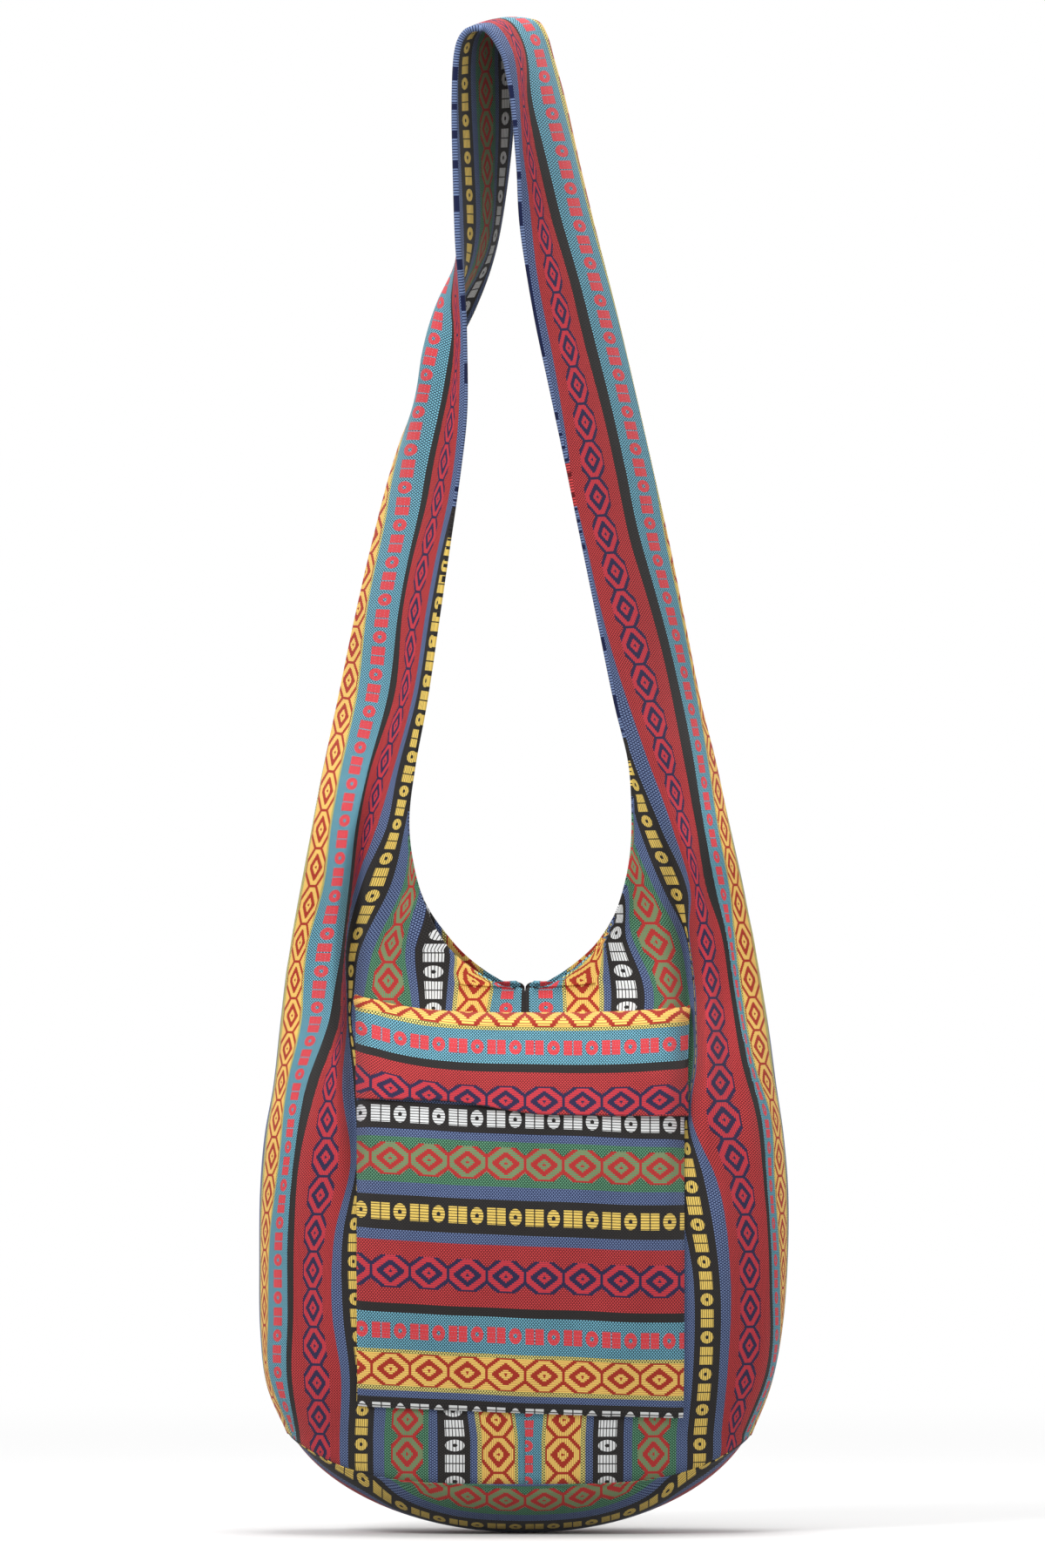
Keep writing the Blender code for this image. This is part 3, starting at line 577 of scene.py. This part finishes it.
# %% Back panels
BEHIND_STRAP = 2.6 * CLOTH


def back_panel(name, side, edge, seam, rows=150, columns=90):
    station = np.linspace(0, len(edge) - 1, rows)
    low = through(edge, station)
    outer, v = side.pouch(low, through(side.stations, station)[:, 2:], columns, side.back_y)
    z = outer[..., 2]
    seam_x, seam_y = (np.interp(z, seam[:, 2], seam[:, axis]) for axis in (0, 1))
    outer[..., 0] += (seam_x - side.width(z)) * v**4
    outer[..., 1] += ((seam_y - side.seam_y(z)) * v**2 + SEAM_GAP
                      + BEHIND_STRAP * ease(z, 0.38, 0.50) * (1 - v**10))
    inner = outer + normals(outer) * CLOTH
    inner[:, -1, 1] = outer[:, -1, 1]
    inner[:, -1, 0] -= CLOTH
    on_seam = outer[:, 0, 0] <= SEAM_GAP
    for grid in (outer, inner):
        close_on_seam(grid, on_seam)
    count = (lengths(outer, 1) + np.maximum(outer[:, :1, 0], 0)) / THREAD
    place = np.stack([count, z / THREAD], -1)
    return sheet_mesh(name, outer, inner, place, place, sign=side.sign), outer, inner


left_back, left_back_out, left_back_in = back_panel("left_back_cloth", LEFT, LEFT_BACK_EDGE, left_out[:, -1])
right_back, right_back_out, right_back_in = back_panel("right_back_cloth", RIGHT, BACK_EDGE, right_out[:, -1])
print("back panels reach up to z", round(float(left_back_out[..., 2].max()), 3))

# %% [markdown]
# ## The base
# The base is an oval of cloth, sewn round its rim to the four panels. So its rim is the panels' own
# lower edge, gone round once, and rings of points shrink from there to the middle as a shallow dome. Its
# stripes run from left to right. Their count follows the dome from the front rim, with a drift that is
# measured in the photo, because the cloth was cut a little off its thread.

# %% The base panel
BASE_DRIFT = [(0.0, 0), (0.05, 3), (0.08, 14), (0.105, 32), (0.13, 22), (0.16, -8)]    # x, threads
BASE_COUNT, DOME = 139, np.radians(70)    # the count at the front rim, and how far the dome curves


def around_base(right, right_back, left_back, left):
    """The first rows of the four panels, one after the other, as one ring."""
    flip = np.array([-1, 1, 1])
    return np.concatenate([right[0], right_back[0][-2::-1], left_back[0][1:] * flip,
                           left[0][-2:0:-1] * flip]) - [0, 0, SEAM_GAP]


def base_panel(name, rings=60):
    """Rings shrink from the panels' lower edges to the middle, as a shallow dome."""
    outside = around_base(right_out, right_back_out, left_back_out, left_out)
    share = np.linspace(1, 0.004, rings)[:, None, None]
    reach = np.sin(share * DOME) / np.sin(DOME) * (1 - 0.02 * ease(1 - share, 0, 0.05))
    drop = (1 - np.cos(share * DOME)) / (1 - np.cos(DOME))
    outer = outside * np.concatenate([reach, reach, drop], axis=-1)
    face = normals(outer, around=True)
    face *= np.sign(-face[rings // 2, :, 2].mean())
    inner = outer - face * CLOTH
    inner[0] = around_base(right_in, right_back_in, left_back_in, left_in)
    deep = abs(outside[:, 1].min()) / np.sin(DOME)
    lean = np.arcsin(np.clip(-outer[..., 1] / deep, -0.98, 0.98))
    drift = profile(BASE_DRIFT, np.abs(outer[..., 0]))
    count = BASE_COUNT + deep * (DOME - lean) / THREAD + drift
    place = np.stack([count, outer[..., 0] / THREAD], -1)
    return sheet_mesh(name, tuck(outer, face, ["low"]), inner, place, place, around=True)


base = base_panel("base_cloth")
print("base", len(base.data.polygons), "faces")

# %% [markdown]
# ## The pocket
# A patch pocket is a rectangle of cloth sewn down at its sides and bottom, and stands off most in its
# middle. Its points are placed on the front's surface and pushed out by that fullness, which keeps it on
# the bag however the front is shaped.

# %% The pocket
POCKET_WIDTH, POCKET_CENTRE, POCKET_TOP, POCKET_BOTTOM = 0.213, -0.003, 0.333, 0.082
POCKET_SLOPE, POCKET_FULLNESS = -0.0375, 0.013
LAP_GAP = 0.0008      # air between two layers of cloth
POCKET_COUNT = 457    # the cloth count at the pocket's lower edge


def on_front(x, z):
    """The front's depth at any x, left or right."""
    return np.where(x < 0, LEFT.front_y(-x, z), RIGHT.front_y(x, z))


def fullness(x, z):
    across = np.clip(np.abs(x - POCKET_CENTRE) / (POCKET_WIDTH / 2), 0, 1)
    up = np.clip((z - POCKET_BOTTOM - POCKET_SLOPE * x) / (POCKET_TOP - POCKET_BOTTOM), 0, 1)
    return POCKET_FULLNESS * (1 - across**3) ** 0.8 * np.sin(np.pi * 0.83 * up) ** 0.8


def edgewise(count):
    """From -0.5 to 0.5, with the steps closer together at both ends."""
    return np.sin(np.linspace(-np.pi / 2, np.pi / 2, count)) / 2


def pocket(name):
    u, v = np.meshgrid(edgewise(170), np.linspace(0, 1, 170))
    x = POCKET_CENTRE + u * POCKET_WIDTH
    low = POCKET_BOTTOM + POCKET_SLOPE * x
    z = low + (POCKET_TOP - low) * v
    inner = np.stack([x, on_front(x, z) - LAP_GAP - fullness(x, z), z], axis=-1)
    face = normals(inner)
    outer = inner + face * CLOTH
    up = lengths(inner, 0) / THREAD
    turned_under = 4 * (1 - ease(up, 0, 10))
    place = np.stack([POCKET_COUNT - up - turned_under, x / THREAD], -1)
    return sheet_mesh(name, tuck(outer, face, ["low", "start", "end"], 0.0006, 0.003), inner, place, place)


front_pocket = pocket("pocket_cloth")
print("pocket, fullest by", round(1000 * POCKET_FULLNESS), "mm")

# %% [markdown]
# ## The flap
# The flap is a short strip that hangs over the pocket's mouth. Its top edge is turned under and sewn, so
# it is thicker there, and rises a little to both ends. It clears the pocket by the pocket's fullness, its
# cloth and a little air.

# %% The flap
FLAP_WIDTH, FLAP_CENTRE, FLAP_TOP, FLAP_BOTTOM, FLAP_ROLL = 0.2175, -0.0012, 0.3475, 0.281, 0.009
FLAP_COUNT = 409.5    # the cloth count at the flap's top edge


def flap(name):
    u, v = np.meshgrid(edgewise(190), np.linspace(0, 1, 90) ** 1.3)
    x = FLAP_CENTRE + u * FLAP_WIDTH
    top = FLAP_TOP - 0.005 + np.where(u < 0, 0.0125, 0.005) * np.abs(2 * u) ** 3
    low = FLAP_BOTTOM + 0.0065 - 0.0085 * ease(x, -0.06, 0.02) - 0.003 * (u + 0.5)
    z = top + (low - top) * v
    over = 2 * LAP_GAP + 1.15 * CLOTH
    clear = LAP_GAP + (over + fullness(x, z)) * ease(top - z, 0, top - POCKET_TOP - 0.002)
    inner = np.stack([x, on_front(x, z) - clear, z], axis=-1)
    face = normals(inner)
    roll = 1 + 0.9 * np.exp(-((((top - z) - FLAP_ROLL / 2) / (FLAP_ROLL / 2)) ** 2))
    outer = inner - face * (CLOTH * roll)[..., None]
    down = (top - z) / THREAD
    place = np.stack([FLAP_COUNT + 2 * (u + 0.5) - (1.18 - 0.08 * (u + 0.5)) * down, x / THREAD], -1)
    return sheet_mesh(name, outer, inner, place, place)


pocket_flap = flap("flap_cloth")
print("flap", len(pocket_flap.data.polygons), "faces")

# %% [markdown]
# ## A small language for shader maths
# The pattern is worked out by maths nodes. Value wraps a node's output, and its operators add the nodes,
# so the pattern can be written as sums.

# %% Shader maths as Python sums
class Value:
    tree = None

    def __init__(self, socket):
        self.socket = socket

    @classmethod
    def node(cls, kind, inputs=None, out=0, **settings):
        made = cls.tree.nodes.new(kind)
        for key, value in settings.items():
            setattr(made, key, value)
        for key, value in (inputs or {}).items():
            if isinstance(value, Value):
                cls.tree.links.new(value.socket, made.inputs[key])
            else:
                made.inputs[key].default_value = value
        return cls(made.outputs[out])

    def maths(self, operation, *others):
        return Value.node("ShaderNodeMath", dict(enumerate((self, *others))), operation=operation)

    def __add__(self, other): return self.maths("ADD", other)
    def __sub__(self, other): return self.maths("SUBTRACT", other)
    def __mul__(self, other): return self.maths("MULTIPLY", other)
    def __truediv__(self, other): return self.maths("DIVIDE", other)
    def __lt__(self, other): return self.maths("LESS_THAN", other)
    def __gt__(self, other): return self.maths("GREATER_THAN", other)
    def __mod__(self, other): return self.maths("FLOORED_MODULO", other)
    __radd__, __rmul__ = __add__, __mul__
    def __rsub__(self, other): return Value.node("ShaderNodeMath", {0: other, 1: self}, operation="SUBTRACT")
    def __abs__(self): return self.maths("ABSOLUTE")
    def floor(self): return self.maths("FLOOR")
    def max(self, other): return self.maths("MAXIMUM", other)

    def within(self, low, high):
        return (self > low) * (self < high)


# %% [markdown]
# Colours are written as a screen shows them and turned into the linear light that Cycles works in. A
# ramp with constant steps holds a row of stripes in one node.

# %% Colours, mixes and ramps
def colour(red, green, blue):
    """A colour as a screen shows it, 0-255, turned into the renderer's linear one."""
    share = np.array([red, green, blue]) / 255
    return (*np.where(share < 0.04045, share / 12.92, ((share + 0.055) / 1.055) ** 2.4), 1.0)


def mix(mask, first, second):
    return Value.node("ShaderNodeMix", {0: mask, 6: first, 7: second}, out=2, data_type="RGBA")


def steps(where, stops):
    """Colours in steps: each stop is (from where, colour), with where from 0 to 1."""
    made = Value.node("ShaderNodeValToRGB", {0: where})
    ramp = made.socket.node.color_ramp
    ramp.interpolation = "CONSTANT"
    ramp.elements[0].position, ramp.elements[0].color = stops[0]
    ramp.elements[1].position, ramp.elements[1].color = stops[1]
    for position, value in stops[2:]:
        ramp.elements.new(position).color = value
    return made


# %% [markdown]
# ## The stripe order
# The order repeats every 340 threads. Each stripe has a name, its width in threads, and the two colours
# its threads show: the light one in dots, the dark one between them.

# %% Stripe order
BLACK, DARK = colour(52, 49, 48), colour(33, 31, 31)
BLUE = colour(116, 136, 178), colour(16, 26, 66)
STRIPES = [
    ("turquoise", 42, colour(128, 198, 220), colour(8, 42, 58)),
    ("yellow", 48, colour(252, 238, 140), colour(54, 44, 12)),
    ("blue", 7, *BLUE),
    ("white figures", 33, BLACK, DARK),
    ("blue", 9, *BLUE),
    ("green", 51, colour(104, 164, 128), colour(14, 54, 36)),
    ("blue", 15, *BLUE),
    ("amber figures", 40, BLACK, DARK),
    ("blue", 12, *BLUE),
    ("red", 72, colour(218, 64, 66), colour(100, 14, 22)),
    ("black", 11, BLACK, DARK),
]
LIGHT_THREAD, DARK_THREAD = 2, 3    # columns of STRIPES
REPEAT = sum(width for _, width, *_ in STRIPES)
STARTS = [float(start) for start in np.cumsum([0] + [width for _, width, *_ in STRIPES])]
MIDDLE = {name: STARTS[i] + width / 2 for i, (name, width, *_) in enumerate(STRIPES)}
print("repeat", REPEAT, "threads:", ", ".join(f"{name} {width}" for name, width, *_ in STRIPES))

# %% [markdown]
# ## The woven diamonds
# Down the yellow, green and red stripes runs a chain of diamonds. A loom makes them from floats, threads
# that pass over several others, and steps from row to row. So each distance from a diamond's middle is
# taken at the middle of a row. Sharp has pointed ends and blunt has cut corners: bands of both are rings.

# %% Diamonds
ROW, DOT, PITCH = 1.95, 3.3, 43.6    # threads: rows of dots, dots along a row, one figure to the next
REACH = 17.6                         # threads from a diamond's middle to its blunt corner
DIAMONDS = [    # stripe, half the band's width, light and dark floats, light thread beside the chain
    ("yellow", 19.0, colour(255, 218, 108), colour(172, 42, 20), colour(255, 218, 108)),
    ("green", 18.5, colour(92, 160, 112), colour(184, 40, 38), None),
    ("red", 18.5, colour(222, 46, 54), colour(46, 40, 74), None),
]


def diamonds(cloth, check, count, row, place):
    """Lays the chains of diamonds over the cloth."""
    gap = ((row % 1.0) > 0.66) * 0.75
    level = row.floor() * ROW + ROW / 2
    for name, half, light, dark, beyond in DIAMONDS:
        out = abs(level - MIDDLE[name]) / REACH
        way = abs(place - PITCH / 2) / (PITCH / 2)
        sharp = ((out + way) * 0.9).max(way.max(out))
        blunt = ((out + way) * 0.75).max(way.max(out * 0.94))
        pale = sharp.within(0.1, 0.36) + (sharp > 0.71) * (blunt < 0.93)
        figure = mix(pale * (1.0 - gap), dark, light)
        figure = mix(blunt > 1.16, figure, mix(gap, beyond, dark) if beyond else check)
        cloth = mix(abs(count - MIDDLE[name]) < half, cloth, figure)
    return cloth


print("one diamond every", round(PITCH * THREAD * 1000, 1), "mm")

# %% [markdown]
# ## The small figures
# The turquoise and the two wide black stripes carry rows of floats: two columns of bars, then a ring,
# over and over. White and amber bars stand apart, and red ones are denser.

# %% Bars and rings
COLUMNS = (0.5, 10.2), (11.6, 21.3)                      # threads along the cloth, in each pitch
RING_AT, RING_LONG, HOLE_LONG, HOLE_HALF = 32.6, 7.2, 2.2, 2.6
FIGURES = [    # stripe, half the row's width, colour, and whether the bars stand apart
    ("turquoise", 9.2, colour(222, 50, 58), False),
    ("white figures", 9.6, colour(238, 240, 240), True),
    ("amber figures", 9.6, colour(246, 210, 98), True),
]


def squared(value):
    return value * value


def small_figures(cloth, count, place):
    for name, half, paint, apart in FIGURES:
        off = count - MIDDLE[name]
        columns = place.within(*COLUMNS[0]) + place.within(*COLUMNS[1])
        oval = squared((place - RING_AT) / RING_LONG) + squared(off / half)
        hole = squared((place - RING_AT) / HOLE_LONG) + squared(off / HOLE_HALF)
        shown = (columns * (abs(off) < half)).max((oval < 1.0) * (hole > 1.0))
        if apart:
            shown = shown * ((((off + 0.8) / 3.25) % 1.0) < 0.74)
        else:
            shown = shown * (1.0 - 0.25 * (((off / 3.0) % 1.0) < 0.3))
        cloth = mix(shown, cloth, paint)
    return cloth


# %% [markdown]
# ## The woven cotton
# Each row of threads shows a line of light dots, half a step on from the row before. That check looks
# woven from near and softens the colours from far, and it drives a slight bump. Cotton is matt, with a
# little sheen, and faint noise stands for uneven dye.

# %% The woven cotton
FIRST_COUNT = -5.5    # the count where a turquoise stripe starts


def woven_cotton():
    material = bpy.data.materials.new("woven_cotton")
    material.use_nodes = True
    Value.tree = material.node_tree
    shader = material.node_tree.nodes["Principled BSDF"]
    uv = Value.node("ShaderNodeUVMap", uv_map="cloth")
    split = Value.node("ShaderNodeSeparateXYZ", {0: uv}).socket.node
    across, along = Value(split.outputs[0]) * 100, Value(split.outputs[1]) * 100
    count = (across + (FIRST_COUNT + REPEAT * 4)) % REPEAT

    def paint(column):
        stops = [(start / REPEAT, stripe[column]) for start, stripe in zip(STARTS, STRIPES)]
        return steps(count / REPEAT, stops)

    row = count / ROW
    dot = (((along / DOT + row.floor() * 0.5) % 1.0) < 0.62) * ((row % 1.0) < 0.75)
    check = mix(dot, paint(DARK_THREAD), paint(LIGHT_THREAD))
    place = along % PITCH
    cloth = small_figures(diamonds(check, check, count, row, place), count, place)

    dye = Value.node("ShaderNodeTexNoise", {"Scale": 9.0, "Detail": 3.0})
    cloth = Value.node("ShaderNodeHueSaturation", {"Color": cloth, "Saturation": 0.97,
                                                  "Value": 0.9 + dye * 0.2})
    bump = Value.node("ShaderNodeBump", {"Strength": 0.3, "Distance": 0.0003, "Height": dot})
    Value.tree.links.new(cloth.socket, shader.inputs["Base Color"])
    Value.tree.links.new(bump.socket, shader.inputs["Normal"])
    shader.inputs["Roughness"].default_value = 0.92
    shader.inputs["Specular IOR Level"].default_value = 0.25
    shader.inputs["Sheen Weight"].default_value = 0.12
    return material


cotton = woven_cotton()
print("the cotton has", len(cotton.node_tree.nodes), "nodes")

# %% [markdown]
# ## Dressing the frame
# Every piece takes the cotton, rides on the bag's one body and stands for the CAD nodes that it covers.
# A front stands for two, because the CAD splits the strap from its panel.

# %% Each piece and its nodes
NODES = {left_front: ["left_front_panel", "left_strap"], right_front: ["right_front_panel", "right_strap"],
         left_back: ["left_back_panel"], right_back: ["right_back_panel"], base: ["base_panel"],
         front_pocket: ["front_pocket"], pocket_flap: ["pocket_flap"]}
for piece, nodes in NODES.items():
    piece.data.materials.append(cotton)
    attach(piece, "root")
    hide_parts(*nodes)
    nodes[0] + "_cloth"
    print(piece.name, "cloth area", round(sum(face.area for face in piece.data.polygons) / 2, 4), "m2")

# %% [markdown]

# %% [markdown]
# ## The floor
# The base just touches a pale floor that keeps its shadow. Near the bag the floor is a matt surface. It
# fades into plain white further off, but only for the camera, so the light on the bag stays as it is.

# %% What the camera sees, and the floor
def seen():
    """1 for what the camera sees, directly or in a gloss, and 0 for the light that falls on things."""
    rays = Value.node("ShaderNodeLightPath").socket.node.outputs
    return Value(rays["Is Camera Ray"]).max(Value(rays["Is Glossy Ray"])).max(
        Value(rays["Is Transmission Ray"]))


SHADOW_KEPT, SHADOW_GONE = 0.35, 2.4    # metres from the bag's middle


def floor_material():
    """Pale and matt near the bag, where its shadow falls, and plain white to the camera further off."""
    material = bpy.data.materials.new("floor_white")
    material.use_nodes = True
    Value.tree = material.node_tree
    shader = material.node_tree.nodes["Principled BSDF"]
    pale = mix(seen(), (0.35, 0.35, 0.35, 1), (0.86, 0.86, 0.86, 1))
    Value.tree.links.new(pale.socket, shader.inputs["Base Color"])
    shader.inputs["Roughness"].default_value = 0.9
    place = Value.node("ShaderNodeSeparateXYZ", {0: Value.node("ShaderNodeNewGeometry")}).socket.node.outputs
    away = (Value(place[0]) * Value(place[0]) + Value(place[1]) * Value(place[1])).maths("SQRT")
    far = Value.node("ShaderNodeMapRange", {0: away, 1: SHADOW_KEPT, 2: SHADOW_GONE},
                     interpolation_type="SMOOTHSTEP")
    white = Value.node("ShaderNodeEmission", {"Color": (1, 1, 1, 1)})
    both = Value.node("ShaderNodeMixShader", {0: far * seen(), 1: Value(shader.outputs[0]), 2: white})
    Value.tree.links.new(both.socket, material.node_tree.nodes["Material Output"].inputs["Surface"])
    return material


bpy.ops.mesh.primitive_circle_add(vertices=96, radius=40, fill_type="NGON")
floor = bpy.context.object
floor.name = "floor"
floor.data.materials.append(floor_material())


# %% [markdown]
# ## The lamps
# Three soft discs light the cloth: a key from the front left shows the folds, a weak fill on the right
# keeps the dark side readable, and a top lamp gives the shadow under the base.

# %% Lamps
def soft_light(name, place, aim, size, watts):
    data = bpy.data.lights.new(name, "AREA")
    data.shape, data.size, data.energy = "DISK", size, watts
    lamp = bpy.data.objects.new(name, data)
    bpy.context.scene.collection.objects.link(lamp)
    lamp.location = place
    way = Vector(aim) - Vector(place)
    lamp.rotation_euler = way.to_track_quat("-Z", "Y").to_euler()
    return lamp


lamps = [soft_light("key", (-1.9, -2.3, 2.4), (0, 0, 0.45), 1.3, 62),
         soft_light("fill", (2.4, -2.0, 1.0), (0, 0, 0.4), 2.2, 14),
         soft_light("top", (0.1, 0.0, 3.0), (0, 0, 0), 1.4, 45)]
print("lamps:", [(lamp.name, lamp.data.energy) for lamp in lamps])

# %% [markdown]
# ## The world
# An even grey light from all sides fills the shadows. The camera sees pure white in its place.

# %% The world
world = bpy.context.scene.world or bpy.data.worlds.new("studio")
bpy.context.scene.world = world
world.use_nodes = True
Value.tree = world.node_tree
ambient = Value.node("ShaderNodeBackground", {"Color": (1, 1, 1, 1), "Strength": 0.62})
backdrop = Value.node("ShaderNodeBackground", {"Color": (1, 1, 1, 1), "Strength": 1.0})
sky = Value.node("ShaderNodeMixShader", {0: seen(), 1: ambient, 2: backdrop})
Value.tree.links.new(sky.socket, world.node_tree.nodes["World Output"].inputs["Surface"])

# %% [markdown]
# ## The camera
# The photo shows hardly any perspective, so the camera stands 14 m away, a little above the bag's middle,
# with a long lens. Lens shift, not a tilt, puts the bag where the photo has it, and upright lines stay
# upright.

# %% The camera
AWAY, EYE, SEEN_HEIGHT, SENSOR = 14.0, 0.60, 1.035, 24
PHOTO_FOOT, PHOTO_MIDDLE, PHOTO_LEFT = 1759, 900, 3    # rows of the base and the centre, and columns off it
camera = bpy.data.objects.new("camera", bpy.data.cameras.new("camera"))
bpy.context.scene.collection.objects.link(camera)
bpy.context.scene.camera = camera
camera.location = (0.0008, 0.0099 - AWAY, EYE)
camera.rotation_euler = (np.pi / 2, 0, 0)
camera.data.sensor_fit = "VERTICAL"
camera.data.sensor_height = SENSOR
camera.data.lens = SENSOR * AWAY / SEEN_HEIGHT
camera.data.shift_y = ((PHOTO_FOOT - PHOTO_MIDDLE) * THREAD - EYE) / SEEN_HEIGHT
camera.data.shift_x = -PHOTO_LEFT * THREAD / SEEN_HEIGHT
scene = bpy.context.scene
scene.render.resolution_x, scene.render.resolution_y = 1200, 1800
scene.view_settings.view_transform = "Standard"
print("lens", round(camera.data.lens), "mm")
